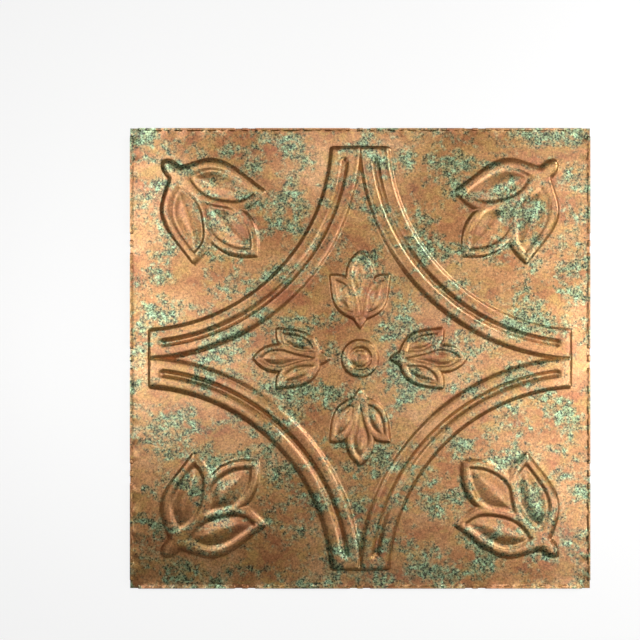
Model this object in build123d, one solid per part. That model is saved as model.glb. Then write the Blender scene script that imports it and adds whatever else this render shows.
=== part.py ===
from build123d import *
import math
import os

# Vinyl ceiling tile: one thermoformed sheet with a pressed relief, lying face up.
# Origin at the middle of the flat back, +X and +Y along the sides, +Z out of the face. Millimetres.

# The sheet
tile_side = 603.25
sheet_thickness = 0.76

# Four quarter-circle bands, each struck from a point just inside a corner of the tile
band_centre_inset = 10.6
band_radius = 273.0
band_width = 44.2
band_height = 5.2
band_wall_run = 7.7
band_shoulder_radius = 5.0
band_end_margin = 23.0
band_end_run = 5.2

# The groove along the middle of each band
groove_width = 14.8
groove_floor_width = 1.2
groove_depth = 4.4
groove_end_margin = 37.4

# Leaf sprigs: each leaf has a raised rim and a sunk panel that swells towards its middle
sprig_height = 4.3
corner_wall_run = 5.2
corner_rim_width = 7.6
corner_panel_depth = 2.2
corner_panel_run = 4.6
corner_swell_height = 4.5
corner_swell_run = 4.0
centre_wall_run = 4.0
centre_rim_width = 4.4
centre_panel_depth = 1.9
centre_panel_run = 3.0
centre_swell_height = 5.0
centre_swell_run = 1.8

# The rosette in the middle
rosette_radius = 26.0
rosette_wall_run = 3.4
rosette_ring_width = 5.8
rosette_height = 4.4
rosette_well_depth = 2.9
rosette_well_width = 3.4
rosette_dome_height = 5.0

# The lip round the edge, with a short tab between two gaps at each quarter of a side
lip_width = 4.4
lip_flat = 1.2
lip_rise = 1.8
lip_end_run = 1.6
lip_corner_gap = 10.0
tab_length = 9.0
tab_gap = 8.0
tabs_per_side = 3

half_side = tile_side / 2
field_top = sheet_thickness

# A leaf is its corners and the points that the sides between them pass through, in turn round its outline.
# Corner sprigs are measured from the tile's corner, and lie either side of the diagonal.
# Where two leaves cross, they share one rim.
corner_side_leaf = {
    "base": (59.0, 54.0),
    "outer_side": [(81.4, 46.8), (107.7, 41.2), (136.6, 52.1), (160.0, 69.6)],
    "tip": (178.0, 83.4),
    "inner_side": [(147.0, 107.0), (113.0, 103.8), (79.0, 81.4)],
}
corner_middle_leaf = {
    "base": (76.0, 76.0),
    "one_side": [(127.4, 94.2), (147.5, 105.9), (162.0, 124.0), (168.0, 146.0)],
    "tip": (167.5, 167.5),
}
corner_stem = {
    "base": (43.6, 43.6),
    "one_side": [(48.4, 42.2), (61.0, 48.0), (78.0, 66.0)],
    "tip": (100.0, 100.0),
}

# Centre sprigs are measured from the middle of the tile, pointing along +Y.
centre_side_leaf = {
    "base": (1.0, 49.0),
    "outer_side": [(20.5, 57.3), (31.4, 68.0), (36.8, 84.0)],
    "tip": (39.8, 109.6),
    "inner_side": [(20.0, 107.0), (10.0, 94.0), (3.5, 75.0)],
}
centre_middle_leaf = {
    "base": (0.0, 58.0),
    "one_side": [(13.0, 88.0), (17.8, 104.0), (16.4, 119.0), (9.9, 131.6)],
    "tip": (0.0, 140.6),
}
centre_stem = {
    "base": (0.0, 38.8),
    "one_side": [(3.0, 43.0), (7.5, 50.0), (7.0, 65.0)],
    "tip": (0.0, 84.0),
}


def across_diagonal(point):
    return (point[1], point[0])


def across_axis(point):
    return (-point[0], point[1])


def outline(leaf):
    """The leaf's corners, and its sides from each corner to the next."""
    turns = list(leaf.values())
    return turns[::2], turns[1::2]


def mirrored(leaf_outline, swap):
    """The outline seen in a mirror, from the same first corner, followed the other way round."""
    corners, sides = leaf_outline
    swapped_corners = [swap(corner) for corner in corners[:1] + corners[:0:-1]]
    swapped_sides = [[swap(point) for point in side[::-1]] for side in sides[::-1]]
    return swapped_corners, swapped_sides


def completed(leaf_outline, swap):
    """The outline of a leaf that is its own mirror image, from one side of it."""
    corners, sides = leaf_outline
    return corners, sides + mirrored(leaf_outline, swap)[1]


def inset_corner(corner, before, after, inset):
    """A sharp end of an outline, moved inwards along the line that halves its angle."""
    to_before = (Vector(before) - Vector(corner)).normalized()
    to_after = (Vector(after) - Vector(corner)).normalized()
    inward = (to_before + to_after).normalized()
    half_angle = math.acos(max(-1.0, min(1.0, inward.dot(to_before))))
    return Vector(corner) + inward * (inset / math.sin(half_angle))


def inset_side(points, inset):
    """The inner points of a side, moved to the left, square to the line between their neighbours."""
    moved = []
    for before, point, after in zip(points, points[1:], points[2:]):
        along = (Vector(after) - Vector(before)).normalized()
        moved.append(Vector(point) + Vector(-along.Y, along.X) * inset)
    return moved


def leaf_face(leaf_outline, inset, height):
    """The outline, drawn in by the inset, as a flat face at the given height."""
    corners, between = leaf_outline
    sides = [[start, *side, end] for start, side, end in zip(corners, between, corners[1:] + corners[:1])]
    moved = []
    for before, after in zip(sides[-1:] + sides[:-1], sides):
        moved.append(inset_corner(after[0], before[-2], after[1], inset))
    lift = Vector(0, 0, height)
    edges = []
    for side, start, end in zip(sides, moved, moved[1:] + moved[:1]):
        points = [start, *inset_side(side, inset), end]
        edges.append(Spline(*[point + lift for point in points]))
    return make_face(edges)


def raised_leaf(leaf, wall_run):
    """The leaf's body, from the field up to the level top of its rim."""
    foot = leaf_face(leaf, -wall_run / 2, field_top)
    top = leaf_face(leaf, wall_run / 2, field_top + sprig_height)
    return loft([foot, top], ruled=True)


def sprig(leaves, stem, wall_run, rim_width, panel_depth, panel_run, swell_height, swell_run):
    """Three leaves on a stem, with one rim between them. Each panel swells from its sunk edge."""
    rim_top = field_top + sprig_height
    floor_height = rim_top - panel_depth
    floor_inset = rim_width + panel_run
    body = raised_leaf(stem, wall_run)
    for leaf in leaves:
        body += raised_leaf(leaf, wall_run)
    for leaf in leaves:
        mouth = leaf_face(leaf, rim_width, rim_top)
        floor = leaf_face(leaf, floor_inset, floor_height)
        crest = leaf_face(leaf, floor_inset + swell_run, field_top + swell_height)
        body -= loft([floor, mouth], ruled=True)
        body += loft([floor, crest], ruled=True)
    return body


def corner_sprig():
    leaves = [
        outline(corner_side_leaf),
        mirrored(outline(corner_side_leaf), across_diagonal),
        completed(outline(corner_middle_leaf), across_diagonal),
    ]
    return Pos(-half_side, -half_side, 0) * sprig(
        leaves,
        completed(outline(corner_stem), across_diagonal),
        corner_wall_run,
        corner_rim_width,
        corner_panel_depth,
        corner_panel_run,
        corner_swell_height,
        corner_swell_run,
    )


def centre_sprig():
    leaves = [
        outline(centre_side_leaf),
        mirrored(outline(centre_side_leaf), across_axis),
        completed(outline(centre_middle_leaf), across_axis),
    ]
    return sprig(
        leaves,
        completed(outline(centre_stem), across_axis),
        centre_wall_run,
        centre_rim_width,
        centre_panel_depth,
        centre_panel_run,
        centre_swell_height,
        centre_swell_run,
    )


def band():
    """One quarter ring near the tile's corner, with rounded shoulders and a groove along it."""
    top = field_top + band_height
    near, far = band_radius - band_width / 2, band_radius + band_width / 2
    wall_section = Polygon(
        (near, field_top),
        (far, field_top),
        (far - band_wall_run, top),
        (near + band_wall_run, top),
        align=None,
    )
    shoulders = wall_section.vertices().group_by(Axis.Y)[-1]
    section = Plane.XZ * fillet(shoulders, band_shoulder_radius)
    ring = revolve(section, Axis.Z, 90)
    mouth = groove_width / 2
    floor = groove_floor_width / 2
    bottom = top - groove_depth
    groove_section = Polygon(
        (band_radius - mouth, top),
        (band_radius - floor, bottom),
        (band_radius + floor, bottom),
        (band_radius + mouth, top),
        align=None,
    )
    end_angle = math.degrees(math.asin((groove_end_margin + mouth - band_centre_inset) / band_radius))
    groove = revolve(Rot(0, 0, end_angle) * (Plane.XZ * groove_section), Axis.Z, 90 - 2 * end_angle)
    on_floor = (Align.CENTER, Align.CENTER, Align.MIN)
    round_end = Pos(band_radius, 0, bottom) * Cone(floor, mouth, groove_depth, align=on_floor)
    groove += Rot(0, 0, end_angle) * round_end
    groove += Rot(0, 0, 90 - end_angle) * round_end
    centre = band_centre_inset - half_side
    return Pos(centre, centre, 0) * (ring - groove)


def band_ends():
    """The sloped block whose four sides end the bands square, short of the tile's edge."""
    foot_side = tile_side - 2 * band_end_margin
    top_side = foot_side - 2 * band_end_run
    foot = Pos(0, 0, field_top) * Rectangle(foot_side, foot_side)
    top = Pos(0, 0, field_top + band_height) * Rectangle(top_side, top_side)
    return loft([foot, top], ruled=True)


def rosette():
    """A ring, a well inside it and a low dome, turned about the tile's middle."""
    top = field_top + rosette_height
    well = top - rosette_well_depth
    ring_inside = rosette_radius - rosette_wall_run - rosette_ring_width
    dome_radius = ring_inside - 2 * rosette_well_width
    dome_top = field_top + rosette_dome_height
    dome_rise = dome_top - well
    dome_curve = (dome_radius**2 + dome_rise**2) / (2 * dome_rise)
    dome_angle = math.degrees(math.asin(dome_radius / dome_curve))
    profile = Polyline(
        (0, dome_top),
        (0, field_top),
        (rosette_radius, field_top),
        (rosette_radius - rosette_wall_run, top),
        (ring_inside, top),
        (ring_inside - rosette_well_width, well),
        (dome_radius, well),
    )
    dome = CenterArc((0, dome_top - dome_curve), dome_curve, 90 - dome_angle, dome_angle)
    return revolve(Plane.XZ * make_face([profile, dome]), Axis.Z)


def lip_piece(start, end):
    """A length of the lip along the side at -Y, sloped on its inner side and both ends."""
    length = end - start
    foot_place = Pos(start, -half_side, field_top)
    top_place = Pos(start + lip_end_run, -half_side, field_top + lip_rise)
    foot = foot_place * Rectangle(length, lip_width, align=Align.MIN)
    top = top_place * Rectangle(length - 2 * lip_end_run, lip_flat, align=Align.MIN)
    return loft([foot, top], ruled=True)


def lip_side():
    """The lip of one side: long lengths, and a short tab at each quarter."""
    pieces = []
    start = -half_side + lip_corner_gap
    for number in range(1, tabs_per_side + 1):
        middle = -half_side + number * tile_side / (tabs_per_side + 1)
        pieces.append(lip_piece(start, middle - tab_length / 2 - tab_gap))
        pieces.append(lip_piece(middle - tab_length / 2, middle + tab_length / 2))
        start = middle + tab_length / 2 + tab_gap
    pieces.append(lip_piece(start, half_side - lip_corner_gap))
    return pieces


def four_turns(piece):
    return [Rot(0, 0, 90 * turn) * piece for turn in range(4)]


def pressed_form():
    """The relief on a flat backing, as the mould holds it, with its level field at field_top."""
    block = Box(tile_side, tile_side, 2 * field_top)
    bands = Part() + four_turns(band())
    relief = [bands & band_ends(), rosette()]
    relief += four_turns(corner_sprig())
    relief += four_turns(centre_sprig())
    for piece in lip_side():
        relief += four_turns(piece)
    return block + relief


def at_cut(edge):
    """True for an edge in one of the four planes where the sheet is cut to size."""
    middle = edge.center()
    return math.isclose(max(abs(middle.X), abs(middle.Y)), half_side, abs_tol=0.001)


def faces_up(face):
    return face.normal_at().Z > 0.01


def pressed_sheet(form):
    """The sheet: the form's face, the same face one thickness lower, and the cut edge between."""
    drop = Vector(0, 0, -sheet_thickness)
    front = form.faces().filter_by(faces_up)
    back = [face.moved(Location(drop)) for face in front]
    cut = [Face.extrude(edge, drop) for edge in front.edges().filter_by(at_cut)]
    return Solid(Shell([*front, *back, *cut]))


os.makedirs("parts", exist_ok=True)
export_step(pressed_sheet(pressed_form()), "parts/ceiling_tile.step")
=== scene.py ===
import math
import bpy
import numpy as np
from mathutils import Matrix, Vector
from mathutils.geometry import delaunay_2d_cdt


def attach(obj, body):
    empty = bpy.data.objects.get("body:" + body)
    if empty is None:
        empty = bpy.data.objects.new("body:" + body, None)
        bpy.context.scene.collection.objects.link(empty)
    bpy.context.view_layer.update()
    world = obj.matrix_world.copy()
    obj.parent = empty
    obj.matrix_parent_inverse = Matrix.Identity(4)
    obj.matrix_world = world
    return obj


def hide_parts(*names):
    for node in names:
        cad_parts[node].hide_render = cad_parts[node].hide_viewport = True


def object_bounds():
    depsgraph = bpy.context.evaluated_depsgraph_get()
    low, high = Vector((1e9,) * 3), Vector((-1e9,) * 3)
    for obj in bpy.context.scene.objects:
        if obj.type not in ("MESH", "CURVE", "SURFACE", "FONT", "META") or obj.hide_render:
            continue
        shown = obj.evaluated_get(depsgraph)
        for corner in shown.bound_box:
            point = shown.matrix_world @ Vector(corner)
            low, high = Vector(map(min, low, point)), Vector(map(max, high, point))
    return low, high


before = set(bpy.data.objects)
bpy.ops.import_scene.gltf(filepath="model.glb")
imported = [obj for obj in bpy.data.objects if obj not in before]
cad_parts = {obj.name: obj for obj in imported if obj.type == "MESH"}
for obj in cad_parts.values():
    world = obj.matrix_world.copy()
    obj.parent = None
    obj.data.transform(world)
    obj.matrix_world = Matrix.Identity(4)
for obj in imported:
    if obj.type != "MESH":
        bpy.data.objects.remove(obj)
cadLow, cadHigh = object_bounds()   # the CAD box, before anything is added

mm = 0.001
print("frame loaded:", sorted(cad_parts))


def linear(hexCode):
    # sRGB hex to the linear colour that Blender's sockets take
    values = [int(hexCode[i:i + 2], 16) / 255 for i in (1, 3, 5)]
    return [v / 12.92 if v <= 0.04045 else ((v + 0.055) / 1.055) ** 2.4 for v in values] + [1.0]


def addNode(tree, kind, settings={}, links={}):
    # settings go to the socket of that name or number, or else to the node itself
    node = tree.nodes.new(kind)
    for name, value in settings.items():
        if name == "stops":
            ramp = node.color_ramp.elements
            while len(ramp) < len(value):
                ramp.new(0.5)
            for stop, (place, colour) in zip(ramp, value):
                stop.position, stop.color = place, colour
        elif isinstance(name, int) or name in node.inputs:
            node.inputs[name].default_value = value
        else:
            setattr(node, name, value)
    for name, source in links.items():
        tree.links.new(getattr(source, "outputs", [source])[0], node.inputs[name])
    return node


# the pressed relief, in mm; the tile is modelled as one eighth and mirrored round
relief = {
    "side": (cadHigh.x - cadLow.x) / mm,
    "gauge": 0.76,               # sheet thickness
    "beadTop": 0.30,             # how round the top and the foot of a wall are, as a share of its run
    "beadFoot": 0.10,
    "leafTop": 0.6,              # the same for the leaves' walls, the rims and the panels
    "rimBead": 0.25,
    "panelFoot": 0.1,
    "panelTop": 0.45,
    "linePoints": 90,            # along each side of a leaf
    "fieldPitch": 14.0,          # mesh points over the level field
    "closest": 0.66,             # no later mesh point lies nearer than this to another
    "sharpFrom": 60,             # degrees; only the cut edge is sharper
}
half = relief["side"] / 2

# quarter rings struck from just inside the corners, with a groove along each
band = {
    "inset": 10.6,               # from the corner to the centre they are struck from, each way
    "near": 250.9,               # feet of the two walls
    "far": 295.1,
    "run": 7.7,
    "height": 5.2,
    "beadTop": 0.4,
    "end": 23.0,                 # foot of the square end, from the tile's edge
    "endRun": 5.2,
    "endRound": 0.9,             # how round the end's corners are, as a share of the walls' runs
    "groove": 273.0,             # radius of the groove's floor
    "grooveFloor": 0.6,          # half its width
    "grooveRun": 6.8,
    "grooveDepth": 4.4,
    "grooveFoot": 0.08,
    "grooveEnd": 37.4,
}

rosette = {
    "radius": 26.0,
    "wallRun": 4.0,
    "height": 4.4,
    "wellRadius": 16.8,
    "wellRun": 4.0,
    "wellFoot": 0.25,
    "wellDepth": 2.9,
    "domeRadius": 11.4,
    "domeHeight": 5.0,
}

lip = {
    "width": 3.9,
    "flat": 1.9,
    "rise": 2.2,
    "rows": [5.2, 4.2, 3.7, 3.2, 2.7, 2.2, 1.6, 0.9],   # of mesh points, from the tile's edge
    "pitch": 9.0,                # and along it
    "endRun": 1.6,
    "corner": 10.0,              # the lip stops short of the corners
    "tab": 9.0,                  # and has a short tab between two gaps at each quarter
    "gap": 8.0,
}


def acrossDiagonal(points):
    return np.asarray(points)[..., ::-1]


def acrossAxis(points):
    return np.asarray(points) * (-1, 1)


# leaves and the panels sunk in them: base, tip and the points each side passes through, in mm
# corner sprigs are measured from the tile's corner; a line with no left side is its own mirror image
cornerSprig = {
    "mirror": acrossDiagonal,
    "height": 4.3,
    "foot": 2.6,                 # the wall starts this far outside the leaf's outline
    "run": 7.4,
    "rimRun": 5.2,               # the wall down into a panel, half of it each side of the panel's line
    "sink": 2.3,
    "crown": 0.2,                # the panel's ridge above the rim
    "step": 3.3,
    "leaves": {
        "side": {
            "base": (59.0, 54.0), "tip": (178.0, 83.4),
            "right": [(81.4, 46.8), (107.7, 41.2), (136.6, 52.1), (160.0, 69.6)],
            "left": [(79.0, 81.4), (113.0, 103.8), (147.0, 107.0)],
        },
        "middle": {
            "base": (76.0, 76.0), "tip": (167.5, 167.5),
            "right": [(127.4, 94.2), (147.5, 105.9), (162.0, 124.0), (168.0, 146.0)],
        },
        "stem": {
            "base": (43.6, 43.6), "tip": (100.0, 100.0),
            "right": [(48.4, 42.2), (61.0, 48.0), (78.0, 66.0)],
        },
    },
    "panels": {
        "side": {
            "base": (77.0, 64.0), "tip": (164.0, 84.5),
            "right": [(93.8, 55.6), (108.0, 53.4), (126.0, 58.0), (142.0, 67.6)],
            "left": [(89.5, 81.0), (108.0, 92.2), (126.0, 96.0), (148.0, 95.2)],
        },
        "middle": {
            "base": (99.0, 99.0), "tip": (158.5, 158.5),
            "right": [(118.0, 103.0), (132.0, 105.8), (143.0, 113.6), (151.5, 126.0), (157.0, 140.0)],
        },
    },
}
# centre ones are measured from the tile's middle: sideways, then outwards
centreSprig = {
    "mirror": acrossAxis,
    "height": 4.3,
    "foot": 2.0,
    "run": 5.0,
    "rimRun": 4.0,
    "sink": 1.9,
    "crown": 0.7,
    "step": 2.6,
    "leaves": {
        "side": {
            "base": (1.0, 49.0), "tip": (39.8, 109.6),
            "right": [(14.0, 53.9), (26.8, 62.0), (34.6, 75.0), (37.8, 92.0)],
            "left": [(3.5, 75.0), (10.0, 94.0), (20.0, 107.0)],
        },
        "middle": {
            "base": (0.0, 58.0), "tip": (0.0, 140.6),
            "right": [(13.0, 88.0), (17.8, 104.0), (16.4, 119.0), (9.9, 131.6)],
        },
        "stem": {
            "base": (0.0, 38.8), "tip": (0.0, 84.0),
            "right": [(3.0, 43.0), (7.5, 50.0), (7.0, 65.0)],
        },
    },
    "panels": {
        "side": {
            "base": (9.5, 60.5), "tip": (32.8, 102.0),
            "right": [(17.5, 63.6), (25.5, 71.2), (29.5, 80.0), (31.6, 92.0)],
            "left": [(9.6, 72.0), (11.2, 83.7), (15.5, 92.0), (22.0, 98.6)],
        },
        "middle": {
            "base": (0.0, 58.0), "tip": (0.0, 131.5),
            "right": [(3.4, 75.0), (6.0, 86.0), (10.4, 100.0), (10.8, 112.0), (6.8, 123.5)],
        },
    },
}


def lift(t, soft):
    # 0 below, t above, rounded between
    return np.where(t > soft, t, np.where(t < -soft, 0.0, (t + soft) ** 2 / (4 * soft)))


def ease(t, foot=relief["beadFoot"], top=relief["beadTop"]):
    # from 0 to 1: straight in the middle, rounded at the foot and at the top
    t = np.asarray(t, float) * (1 + foot + top) - foot
    return 1 - lift(1 - lift(t, foot), top)


def splineThrough(points, count):
    # natural cubic spline by chord length, sampled evenly
    p = np.array(points, float)
    t = np.concatenate([[0], np.cumsum(np.linalg.norm(np.diff(p, axis=0), axis=1))])
    h = np.diff(t)
    n = len(p)
    m = np.eye(n)
    r = np.zeros((n, 2))
    for i in range(1, n - 1):
        m[i, i - 1:i + 2] = h[i - 1], 2 * (h[i - 1] + h[i]), h[i]
        r[i] = 6 * ((p[i + 1] - p[i]) / h[i] - (p[i] - p[i - 1]) / h[i - 1])
    bend = np.linalg.solve(m, r)
    s = np.linspace(0, t[-1], count)
    i = np.clip(np.searchsorted(t, s) - 1, 0, n - 2)
    a = ((t[i + 1] - s) / h[i])[:, None]
    b = ((s - t[i]) / h[i])[:, None]
    w = (h[i] ** 2 / 6)[:, None]
    return a * p[i] + b * p[i + 1] + w * ((a ** 3 - a) * bend[i] + (b ** 3 - b) * bend[i + 1])


def drawLeaf(leaf, mirror):
    # the outline as a fine closed line
    left = leaf.get("left") or [mirror(p) for p in leaf["right"]]
    rightLine = splineThrough([leaf["base"], *leaf["right"], leaf["tip"]], relief["linePoints"])
    leftLine = splineThrough([leaf["base"], *left, leaf["tip"]], relief["linePoints"])
    leaf["outline"] = np.vstack([rightLine, leftLine[::-1][1:-1]])


for sprig in (cornerSprig, centreSprig):
    for leaf in [*sprig["leaves"].values(), *sprig["panels"].values()]:
        drawLeaf(leaf, sprig["mirror"])


def leafDepth(leaf, points):
    # distance to the leaf's outline, positive inside
    a = leaf["outline"]
    b = np.roll(a, -1, axis=0)
    rise = np.where(b[:, 1] == a[:, 1], 1e-9, b[:, 1] - a[:, 1])
    depth = np.empty(len(points))
    chunk = 2000                 # so many at a time, to spare memory
    for start in range(0, len(points), chunk):
        p = points[start:start + chunk, None, :]
        along = np.clip(((p - a) * (b - a)).sum(2) / ((b - a) ** 2).sum(1), 0, 1)
        away = np.linalg.norm(p - a - along[..., None] * (b - a), axis=2).min(1)
        x, y = p[..., 0], p[..., 1]
        crosses = (a[:, 1] > y) != (b[:, 1] > y)
        toLeft = x < a[:, 0] + (y - a[:, 1]) / rise * (b[:, 0] - a[:, 0])
        inside = (crosses & toLeft).sum(1) % 2 == 1
        depth[start:start + chunk] = np.where(inside, away, -away)
    return depth


def bothDepths(sprig, leaf, points):
    # distance inside the leaf or its mirror image
    return np.maximum(leafDepth(leaf, points), leafDepth(leaf, sprig["mirror"](points)))


def bodyDepth(sprig, points):
    # distance inside the outline of the whole sprig
    return np.max([bothDepths(sprig, leaf, points) for leaf in sprig["leaves"].values()], axis=0)


def sprigHeight(sprig, points):
    # a rounded body with steep walls, and panels sunk in it that swell to a ridge
    wall = (bodyDepth(sprig, points) + sprig["foot"]) / sprig["run"]
    height = sprig["height"] * ease(wall, top=relief["leafTop"])
    for panel in sprig["panels"].values():
        inside = bothDepths(sprig, panel, points)
        drop = ease(inside / sprig["rimRun"] + 0.5, relief["rimBead"], relief["rimBead"])
        past = (inside - sprig["rimRun"] / 2) / panel["reach"]
        swell = ease(past, relief["panelFoot"], relief["panelTop"])
        height = height - sprig["sink"] * drop + (sprig["sink"] + sprig["crown"]) * swell
    return height


# the eighth is the wedge 0 <= y <= x: its sprig frames are reached by swapping and turning the axes
def toCorner(points):
    return np.column_stack([half - points[:, 1], half - points[:, 0]])


def toCentre(points):
    return np.column_stack([points[:, 1], points[:, 0]])


fromCorner, fromCentre = toCorner, toCentre   # each is its own way back


def panelGrid(sprig):
    # even points over the sprig's panels, and how far each panel's ridge is from its sunk edge
    lines = np.vstack([leaf["outline"] for leaf in sprig["leaves"].values()])
    pitch = sprig["step"] * 0.75
    x = np.arange(lines[:, 0].min(), lines[:, 0].max(), pitch)
    y = np.arange(lines[:, 1].min(), lines[:, 1].max(), pitch)
    grid = np.column_stack([v.ravel() for v in np.meshgrid(x, y)])
    found = []
    for panel in sprig["panels"].values():
        depth = leafDepth(panel, grid)
        panel["reach"] = depth.max() - sprig["rimRun"] / 2
        found.append(grid[depth > sprig["rimRun"] * 0.7])
    return np.vstack(found)


cornerGrid, centreGrid = panelGrid(cornerSprig), panelGrid(centreSprig)


def bandHeight(points):
    centre = half - band["inset"]
    radius = np.hypot(centre - points[:, 0], centre - points[:, 1])
    near = (radius - band["near"]) / band["run"]
    end = (half - points[:, 0] - band["end"]) / band["endRun"]
    # where the near wall turns into the end, the corner is round
    k = band["endRound"]
    corner = k - np.hypot(np.maximum(0, k - near), np.maximum(0, k - end))
    inner = np.minimum(near, end)
    shape = np.minimum(ease(np.where(inner < k, corner, inner), top=band["beadTop"]),
                       ease((band["far"] - radius) / band["run"], top=band["beadTop"]))
    # the groove stops in a round end
    roundEnd = band["grooveEnd"] + band["grooveFloor"] + band["grooveRun"]
    stop = math.asin((roundEnd - band["inset"]) / band["groove"])
    turn = np.arctan2(centre - points[:, 0], centre - points[:, 1])
    past = np.maximum(0, stop - turn) * band["groove"]
    off = np.hypot(radius - band["groove"], past)
    slope = ease((off - band["grooveFloor"]) / band["grooveRun"], band["grooveFoot"])
    return band["height"] * shape - band["grooveDepth"] * (1 - slope)


def rosetteHeight(points):
    r = np.hypot(points[:, 0], points[:, 1])
    ring = rosette["height"] * ease((rosette["radius"] - r) / rosette["wallRun"])
    well = ease((rosette["wellRadius"] - r) / rosette["wellRun"], rosette["wellFoot"])
    swell = rosette["domeHeight"] - rosette["height"] + rosette["wellDepth"]
    dome = swell * np.sqrt(np.clip(1 - (r / rosette["domeRadius"]) ** 2, 0, 1))
    return ring - rosette["wellDepth"] * well + dome


def lipHeight(points):
    edge, along = half - points[:, 0], points[:, 1]
    rise = ease((lip["width"] - edge) / (lip["width"] - lip["flat"]))
    run, length = lip["endRun"], lip["tab"] / 2
    present = ease((half - lip["corner"] - along) / run)
    for middle in (0, half / 2):
        away = np.abs(along - middle)
        tab = ease((length - away) / run)
        beyond = ease((away - length - lip["gap"]) / run)
        present = np.minimum(present, np.maximum(tab, beyond))
    return lip["rise"] * rise * present


def heightAt(points):
    # height of the face above the level field
    corner = sprigHeight(cornerSprig, toCorner(points))
    centre = sprigHeight(centreSprig, toCentre(points))
    others = bandHeight(points), rosetteHeight(points), lipHeight(points)
    return np.max([corner, centre, *others], axis=0)


def leafRings(leaf, step, rings):
    # points along the outline, drawn in by each ring's distance and kept where that distance is true
    line = leaf["outline"]
    closed = np.vstack([line, line[:1]])
    length = np.concatenate([[0], np.cumsum(np.linalg.norm(np.diff(closed, axis=0), axis=1))])
    found = []
    for inset in rings:
        count = max(12, int(length[-1] / step))
        s = (np.arange(count) + 0.5) / count * length[-1]
        p = np.column_stack([np.interp(s, length, closed[:, k]) for k in (0, 1)])
        further = (s + 0.5) % length[-1]
        along = np.column_stack([np.interp(further, length, closed[:, k]) for k in (0, 1)]) - p
        along /= np.linalg.norm(along, axis=1)[:, None]
        moved = p + np.column_stack([-along[:, 1], along[:, 0]]) * inset
        found.append(moved[np.abs(leafDepth(leaf, moved) - inset) < 0.2])
    return np.vstack(found)


def sprigPoints(sprig, grid):
    # rows along every wall of the sprig, and the grid over its panels
    outer = sprig["run"] * np.array([-0.25, -0.05, 0.08, 0.22, 0.36, 0.52, 0.72, 1.0]) - sprig["foot"]
    inner = sprig["rimRun"] * np.array([-0.55, -0.28, 0.0, 0.28, 0.55])
    rows = [leafRings(panel, sprig["step"], inner) for panel in sprig["panels"].values()]
    for leaf in sprig["leaves"].values():
        ring = leafRings(leaf, sprig["step"], outer)
        # only where this leaf makes the sprig's outline
        rows.append(ring[bodyDepth(sprig, ring) - leafDepth(leaf, ring) < 0.5])
    return [*rows, grid]


def bandPoints():
    centre = half - band["inset"]
    wall = np.array([-0.28, -0.06, 0.06, 0.2, 0.4, 0.6, 0.8, 1.0])
    groove = np.array([0.0, 0.1, 0.28, 0.5, 0.7, 0.86, 1.02])
    slope = band["grooveFloor"] + groove * band["grooveRun"]
    rows = np.concatenate([band["near"] + wall * band["run"], band["far"] - wall * band["run"],
                           band["groove"] - slope, [band["groove"]], band["groove"] + slope])
    squareEnd = band["end"] + wall * band["endRun"]
    roundEnd = band["grooveEnd"] + groove * band["grooveRun"]
    ends = np.concatenate([squareEnd, (squareEnd[-1] + roundEnd[:1]) / 2, roundEnd])
    ends = np.arcsin((ends - band["inset"]) / band["groove"])
    steps = np.concatenate([ends, np.linspace(ends[-1] + 0.012, math.pi / 4, 46)])
    turn, radius = np.meshgrid(steps, rows, indexing="ij")
    x, y = centre - radius * np.sin(turn), centre - radius * np.cos(turn)
    return np.column_stack([x.ravel(), y.ravel()])


def rosettePoints():
    share = np.array([0.0, 0.15, 0.35, 0.6, 0.8, 1.0])
    ringInside = rosette["radius"] - rosette["wallRun"]
    rows = np.concatenate([rosette["domeRadius"] * np.array([0.28, 0.54, 0.75, 0.88, 0.96, 1.03]),
                           rosette["wellRadius"] - share * rosette["wellRun"],
                           [(rosette["wellRadius"] + ringInside) / 2, rosette["radius"] + 1.5],
                           rosette["radius"] + 0.3 - share * rosette["wallRun"]])
    found = []
    for r in rows:
        turn = np.linspace(0, math.pi / 4, max(3, int(r * 0.36) + 2))
        found.append(np.column_stack([r * np.cos(turn), r * np.sin(turn)]))
    return np.vstack(found)


def lipPlaces():
    # along the edge: close together where the lip starts and stops
    length, gap, run = lip["tab"] / 2, lip["gap"], lip["endRun"]
    places = list(np.arange(0, half, lip["pitch"]))
    ends = np.arange(-1, 5) * run / 3
    for middle in (0, half / 2):
        for stop in (length - run, length + gap):
            for side in (-1, 1):
                places += list(middle + side * (stop + ends))
    places += list(half - lip["corner"] - ends)
    places = np.unique(np.round([p for p in places if 0 <= p <= half], 3))
    keep = [places[0]]
    for p in places[1:]:
        if p - keep[-1] > 0.3:
            keep.append(p)
    return np.array(keep + [half])


def lineOf(places, direction):
    return np.outer(np.unique(np.round(places, 3)), direction)


def thinned(sets, closeness):
    # earlier sets win; a later point too near to one already kept is left out
    kept, chunk = sets[0], 1500
    for points in sets[1:]:
        for start in range(0, len(points), chunk):
            block = points[start:start + chunk]
            away = np.min([np.linalg.norm(block[:, None] - kept[None, i:i + chunk], axis=2).min(1)
                           for i in range(0, len(kept), chunk)], axis=0)
            block = block[away > closeness]
            kept = np.vstack([kept, block])
    return kept


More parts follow.
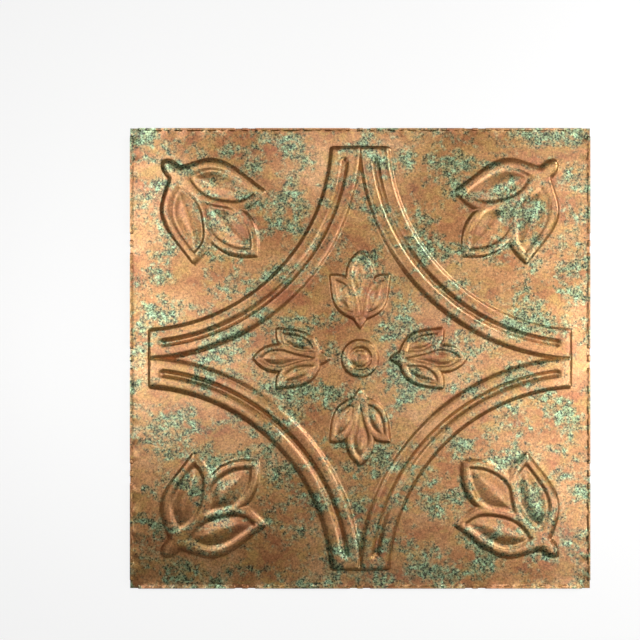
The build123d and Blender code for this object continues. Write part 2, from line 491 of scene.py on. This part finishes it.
def eighthMesh():
    # the wedge's own border first: middle line, tile edge, diagonal
    root2 = math.sqrt(2)
    # middle line: close over the sprig, wide over the field, close over the bands' ends and the lip
    alongX = np.concatenate([np.arange(0, 146, 2.0), np.arange(150, 232, 9.0),
                             np.arange(238, half - 6.5, 2.2), half - np.array([*lip["rows"], 0])])
    radii = np.concatenate([band["near"] + np.arange(-1.2, 10, 1.2),
                            band["groove"] + np.arange(-7.2, 7.8, 1.2),
                            band["far"] - np.arange(-1.2, 10, 1.2)])
    onDiagonal = half - band["inset"] - radii / root2
    # diagonal: rosette, field, band, corner sprig and the bare corner
    diagonal = np.concatenate([np.arange(0, 29, 2.0) / root2, np.arange(36, 100, 9.0) / root2,
                               onDiagonal, half - np.arange(40, 182, 1.5),
                               half - np.array([30, 18, 8, 0])])
    places = lipPlaces()
    borderA = lineOf(alongX, (1, 0))
    borderB = np.column_stack([np.full(len(places), half), places])
    borderC = lineOf(diagonal, (1, 1))
    border = np.vstack([borderA, borderB[1:], borderC[::-1][1:-1]])
    lipSet = np.vstack([np.column_stack([np.full(len(places), half - e), places]) for e in lip["rows"]])
    sets = [border, bandPoints(), rosettePoints(), lipSet]
    sets += [fromCorner(rows) for rows in sprigPoints(cornerSprig, cornerGrid)]
    sets += [fromCentre(rows) for rows in sprigPoints(centreSprig, centreGrid)]
    field = np.arange(6, half, relief["fieldPitch"])
    sets.append(np.column_stack([v.ravel() for v in np.meshgrid(field, field)]))
    # all but the border lies a little inside the wedge
    for i in range(1, len(sets)):
        x, y = sets[i][:, 0], sets[i][:, 1]
        sets[i] = sets[i][(y > 0.45) & (x < half - 0.3) & (x - y > 0.6)]
    points = thinned(sets, relief["closest"])
    loop = list(range(len(border)))
    verts, _, faces, _, _, _ = delaunay_2d_cdt([Vector(p) for p in points], [], [loop], 1, 1e-6)
    return np.array([(v.x, v.y) for v in verts]), np.array([tuple(f) for f in faces])


def mirroredRound(points, faces):
    # eight copies about the middle, welded along the seams
    allPoints, allFaces, heights = [], [], []
    height = heightAt(points)
    for swap in (False, True):
        for signX in (1, -1):
            for signY in (1, -1):
                p = points[:, ::-1] if swap else points
                p = p * np.array([signX, signY])
                flip = swap != (signX * signY < 0)
                f = faces[:, ::-1] if flip else faces
                allFaces.append(f + len(points) * len(allPoints))
                allPoints.append(p)
                heights.append(height)
    p, h = np.vstack(allPoints), np.concatenate(heights)
    places = np.round(p * 1000).astype(np.int64)
    _, first, back = np.unique(places, axis=0, return_index=True, return_inverse=True)
    return p[first], h[first], back.ravel()[np.vstack(allFaces)]


def sheetMesh(name):
    points, faces = eighthMesh()
    a, b, c = (points[faces[:, k]] for k in range(3))
    area = np.cross(b - a, c - a)
    faces[area < 0] = faces[area < 0][:, ::-1]
    points, height, faces = mirroredRound(points, faces)
    front = np.column_stack([points, relief["gauge"] + height])
    back = front - (0, 0, relief["gauge"])
    # the cut edge: every front edge on the tile's outline, used by one face only
    n = len(front)
    edges = np.vstack([faces[:, [0, 1]], faces[:, [1, 2]], faces[:, [2, 0]]])
    key = np.sort(edges, axis=1)
    _, place, count = np.unique(key, axis=0, return_index=True, return_counts=True)
    rim = edges[place[count == 1]]
    wall = np.column_stack([rim[:, 1], rim[:, 0], rim[:, 0] + n, rim[:, 1] + n])
    mesh = bpy.data.meshes.new(name)
    polygons = [tuple(f) for f in faces] + [tuple(f[::-1] + n) for f in faces]
    polygons += [tuple(w) for w in wall]
    mesh.from_pydata((np.vstack([front, back]) * mm).tolist(), [], polygons)
    mesh.polygons.foreach_set("material_index", [0] * len(faces) + [1] * (len(faces) + len(wall)))
    mesh.polygons.foreach_set("use_smooth", [True] * len(mesh.polygons))
    mesh.set_sharp_from_angle(angle=math.radians(relief["sharpFrom"]))
    print("sheet:", len(front) * 2, "points,", len(faces) * 2 + 2 * len(wall), "triangles")
    return mesh


tile = bpy.data.objects.new("pressedTile", sheetMesh("pressedTile"))
bpy.context.scene.collection.objects.link(tile)
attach(tile, "root")
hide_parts("ceiling_tile")


# rigid PVC sheet with a printed film under a satin varnish: copper with ochre clouds and rusty zones,
# and loose patches of verdigris, olive to teal, with a light and dark grain that is strongest there
film = {
    "copper": [(0.34, "#965f3c"), (0.46, "#a87447"), (0.56, "#b38253"), (0.68, "#be9164")],
    "ochre": "#ae8a4c",
    "rust": "#9a5938",
    "verdigris": [(0.38, "#696a49"), (0.50, "#73805d"), (0.62, "#829a78")],
    "cloudMm": 50.0,        # copper clouds
    "ochreMm": 22.0,
    "rustMm": 70.0,
    "patchMm": 42.0,        # verdigris patches
    "crumbMm": 8.0,         # their ragged edges
    "tintMm": 10.0,         # olive and teal in them
    "grainMm": 2.4,         # drawn coarser than the print's own dots, which would not show
    "stretch": (0.8, 1.2, 1),   # the print is drawn out a little along the sheet, and turned
    "turn": 0.25,
    "rustFrom": 0.52,       # where the rust starts and where it lies thick, and the same for the ochre
    "rustTo": 0.70,
    "ochreFrom": 0.47,
    "ochreTo": 0.65,
    "washMost": 0.75,       # neither hides the copper
    "crumbShare": 0.5,
    "coverFrom": 0.72,      # where the verdigris starts and where it lies thick
    "coverTo": 0.87,
    "copperGrain": 3.0,
    "verdigrisGrain": 11.0,
    "darkest": 0.1,
    "metallic": 0.7,        # the ink is full of bronze powder
    "roughness": 0.34,
    "ior": 1.53,            # rigid PVC
    "varnish": 0.4,
    "varnishRoughness": 0.2,
}


def perMetre(size):
    # noise scale for features of so many mm
    return 1000 / size


def printedFilm():
    material = bpy.data.materials.new("printedSatinVinyl")
    material.use_nodes = True
    tree = material.node_tree
    shader = tree.nodes["Principled BSDF"]
    place = addNode(tree, "ShaderNodeTexCoord").outputs["Object"]
    drawn = addNode(tree, "ShaderNodeMapping",
                    {"Rotation": (0, 0, film["turn"]), "Scale": film["stretch"]}, {"Vector": place})
    # a noise for each layer: where in it, size in mm, detail, roughness, distortion, coordinates
    layers = {
        "clouds": (1.3, film["cloudMm"], 5, 0.55, 0.6, drawn),
        "zones": (3.4, film["rustMm"], 5, 0.6, 0.8, drawn),
        "blots": (4.1, film["ochreMm"], 4, 0.6, 0.8, drawn),
        "patches": (2.6, film["patchMm"], 4, 0.6, 0.4, drawn),
        "crumbs": (5.2, film["crumbMm"], 3, 0.6, 0.2, place),
        "tints": (8.4, film["tintMm"], 2, 0.6, 0, place),
        "grain": (7.7, film["grainMm"], 3, 0.75, 0, place),
    }
    noise = {}
    for name, (where, size, detail, rough, twist, coordinates) in layers.items():
        settings = {"noise_dimensions": "4D", "W": where, "Scale": perMetre(size),
                    "Detail": detail, "Roughness": rough, "Distortion": twist}
        noise[name] = addNode(tree, "ShaderNodeTexNoise", settings, {"Vector": coordinates})

    # where the verdigris lies, and how far the rust and the ochre cover the copper
    ragged = addNode(tree, "ShaderNodeMath", {"operation": "MULTIPLY_ADD", 1: film["crumbShare"]},
                     {0: noise["crumbs"], 2: noise["patches"]})
    coverRange = {"From Min": film["coverFrom"], "From Max": film["coverTo"]}
    cover = addNode(tree, "ShaderNodeMapRange", coverRange, {"Value": ragged})
    ramps = {}
    for name, layer in (("copper", "clouds"), ("verdigris", "tints")):
        stops = [(p, linear(c)) for p, c in film[name]]
        ramps[name] = addNode(tree, "ShaderNodeValToRGB", {"stops": stops}, {0: noise[layer]})
    hue = ramps["copper"].outputs["Color"]
    for name, layer in (("rust", "zones"), ("ochre", "blots")):
        washRange = {"From Min": film[name + "From"], "From Max": film[name + "To"],
                     "To Max": film["washMost"]}
        share = addNode(tree, "ShaderNodeMapRange", washRange, {"Value": noise[layer]})
        washed = addNode(tree, "ShaderNodeMix", {"data_type": "RGBA", 7: linear(film[name])},
                         {0: share, 6: hue})
        hue = washed.outputs[2]
    aged = addNode(tree, "ShaderNodeMix", {"data_type": "RGBA"},
                   {0: cover, 6: hue, 7: ramps["verdigris"]})

    # the grain makes each spot lighter or darker
    grainRange = {"To Min": film["copperGrain"], "To Max": film["verdigrisGrain"]}
    strength = addNode(tree, "ShaderNodeMapRange", grainRange, {"Value": cover})
    offset = addNode(tree, "ShaderNodeMath", {"operation": "SUBTRACT", 1: 0.5}, {0: noise["grain"]})
    tone = addNode(tree, "ShaderNodeMath", {"operation": "MULTIPLY_ADD", 2: 1.0},
                   {0: offset, 1: strength})
    tone = addNode(tree, "ShaderNodeMath", {"operation": "MAXIMUM", 1: film["darkest"]}, {0: tone})
    colour = addNode(tree, "ShaderNodeMix", {"data_type": "RGBA", "blend_type": "MULTIPLY", 0: 1.0},
                     {6: aged.outputs[2], 7: tone})
    tree.links.new(colour.outputs[2], shader.inputs["Base Color"])
    sockets = {"Metallic": "metallic", "Roughness": "roughness", "IOR": "ior",
               "Coat Weight": "varnish", "Coat Roughness": "varnishRoughness", "Coat IOR": "ior"}
    for socket, name in sockets.items():
        shader.inputs[socket].default_value = film[name]
    return material


# extruded rigid PVC with no print, on the back and the cut edge: an even off-white with a soft sheen
bareSheet = {
    "colour": "#d9d5cb",
    "roughness": 0.45,
}


def plainVinyl():
    material = bpy.data.materials.new("plainRigidVinyl")
    material.use_nodes = True
    shader = material.node_tree.nodes["Principled BSDF"]
    shader.inputs["Base Color"].default_value = linear(bareSheet["colour"])
    shader.inputs["Roughness"].default_value = bareSheet["roughness"]
    shader.inputs["IOR"].default_value = film["ior"]
    return material


tile.data.materials.append(printedFilm())
tile.data.materials.append(plainVinyl())
print("film printed")


# studio: white paper floor, two soft boxes high up, low ones all round, camera straight above
studio = {
    "framePx": 640,
    "tilePx": (130.5, 128.5, 589.5, 588.0),   # the tile's box in the picture: left, top, right, bottom
    "lens": 42.0,
    "sensor": 36.0,
    "paper": "#f4f4f2",
    "paperRoughness": 0.9,
    "paperReach": 6.0,       # m, from the middle to its edges
    "paperDrop": 0.0003,     # m, how far it lies under the tile
    "paperGlow": 0.8,        # how far the paper goes to plain white where the camera sees it
    "fill": 0.02,            # the room's own light
}
# soft boxes that look at the tile's middle: place, width and height in m, power in W
boxes = {
    "highLeft": {"place": (-0.5, -0.1, 1.5), "size": (0.5, 0.5), "power": 3.3},
    "highRight": {"place": (0.4, -0.1, 1.5), "size": (0.5, 0.5), "power": 2.4},
    "behind": {"place": (0.0, 0.5, 0.8), "size": (0.35, 0.35), "power": 1.1},
    "inFront": {"place": (0.1, -0.5, 0.8), "size": (0.35, 0.35), "power": 0.25},
    "left": {"place": (-0.45, 0.3, 0.6), "size": (0.28, 0.28), "power": 1.1},
    "lowLeft": {"place": (-0.45, 0.0, 0.3), "size": (0.19, 0.19), "power": 0.42},
    "nearRight": {"place": (0.45, -0.3, 0.6), "size": (0.28, 0.28), "power": 0.85},
    "backRight": {"place": (0.45, 0.3, 0.6), "size": (0.28, 0.28), "power": 0.74},
    "closeRight": {"place": (0.45, 0.0, 0.3), "size": (0.19, 0.19), "power": 0.6},
    "lowNear": {"place": (0.75, -0.3, 0.3), "size": (0.19, 0.19), "power": 0.85},
    "lowBack": {"place": (0.75, 0.3, 0.3), "size": (0.19, 0.19), "power": 1.2},
    "farBack": {"place": (0.75, 0.6, 0.3), "size": (0.19, 0.19), "power": 2.2},
}


def makeFloor():
    mesh = bpy.data.meshes.new("studioFloor")
    reach, level = studio["paperReach"], -studio["paperDrop"]
    corners = [(x * reach, y * reach, level) for x, y in ((-1, -1), (1, -1), (1, 1), (-1, 1))]
    mesh.from_pydata(corners, [], [(0, 1, 2, 3)])
    floor = bpy.data.objects.new("studioFloor", mesh)
    bpy.context.scene.collection.objects.link(floor)
    paper = bpy.data.materials.new("floorPaper")   # matt white backdrop paper
    paper.use_nodes = True
    tree = paper.node_tree
    shader = tree.nodes["Principled BSDF"]
    shader.inputs["Base Color"].default_value = linear(studio["paper"])
    shader.inputs["Roughness"].default_value = studio["paperRoughness"]
    # white to the camera, to gloss and to glass; plain paper to the light that it throws back
    path = addNode(tree, "ShaderNodeLightPath")
    seen = path.outputs["Is Camera Ray"]
    for ray in ("Is Glossy Ray", "Is Transmission Ray"):
        seen = addNode(tree, "ShaderNodeMath", {"operation": "MAXIMUM"},
                       {0: seen, 1: path.outputs[ray]})
    share = addNode(tree, "ShaderNodeMath", {"operation": "MULTIPLY", 1: studio["paperGlow"]},
                    {0: seen})
    glow = addNode(tree, "ShaderNodeEmission", {"Strength": 1.0})
    both = addNode(tree, "ShaderNodeMixShader", {}, {0: share, 1: shader, 2: glow})
    tree.links.new(both.outputs[0], tree.nodes["Material Output"].inputs["Surface"])
    mesh.materials.append(paper)


def makeSoftBox(name, box):
    lamp = bpy.data.lights.new(name, "AREA")
    lamp.shape = "RECTANGLE"
    lamp.size, lamp.size_y = box["size"]
    lamp.energy = box["power"]
    light = bpy.data.objects.new(name, lamp)
    light.location = box["place"]
    light.rotation_euler = (-light.location).to_track_quat("-Z", "Y").to_euler()
    light.visible_camera = False
    bpy.context.scene.collection.objects.link(light)


def makeWorld():
    world = bpy.data.worlds.new("studio")
    bpy.context.scene.world = world
    world.use_nodes = True
    world.node_tree.nodes["Background"].inputs["Color"].default_value = (1, 1, 1, 1)
    world.node_tree.nodes["Background"].inputs["Strength"].default_value = studio["fill"]


def makeCamera():
    left, top, right, bottom = studio["tilePx"]
    mmPerPx = relief["side"] / ((right - left + bottom - top) / 2)
    view = bpy.data.cameras.new("camera")
    view.lens, view.sensor_width = studio["lens"], studio["sensor"]
    camera = bpy.data.objects.new("camera", view)
    middle = studio["framePx"] / 2
    camera.location = ((middle - (left + right) / 2) * mmPerPx * mm,
                       ((top + bottom) / 2 - middle) * mmPerPx * mm,
                       studio["lens"] / studio["sensor"] * studio["framePx"] * mmPerPx * mm)
    bpy.context.scene.collection.objects.link(camera)
    bpy.context.scene.camera = camera


makeFloor()
for name, box in boxes.items():
    makeSoftBox(name, box)
makeWorld()
makeCamera()
bpy.context.scene.view_settings.view_transform = "Standard"
print("studio ready")
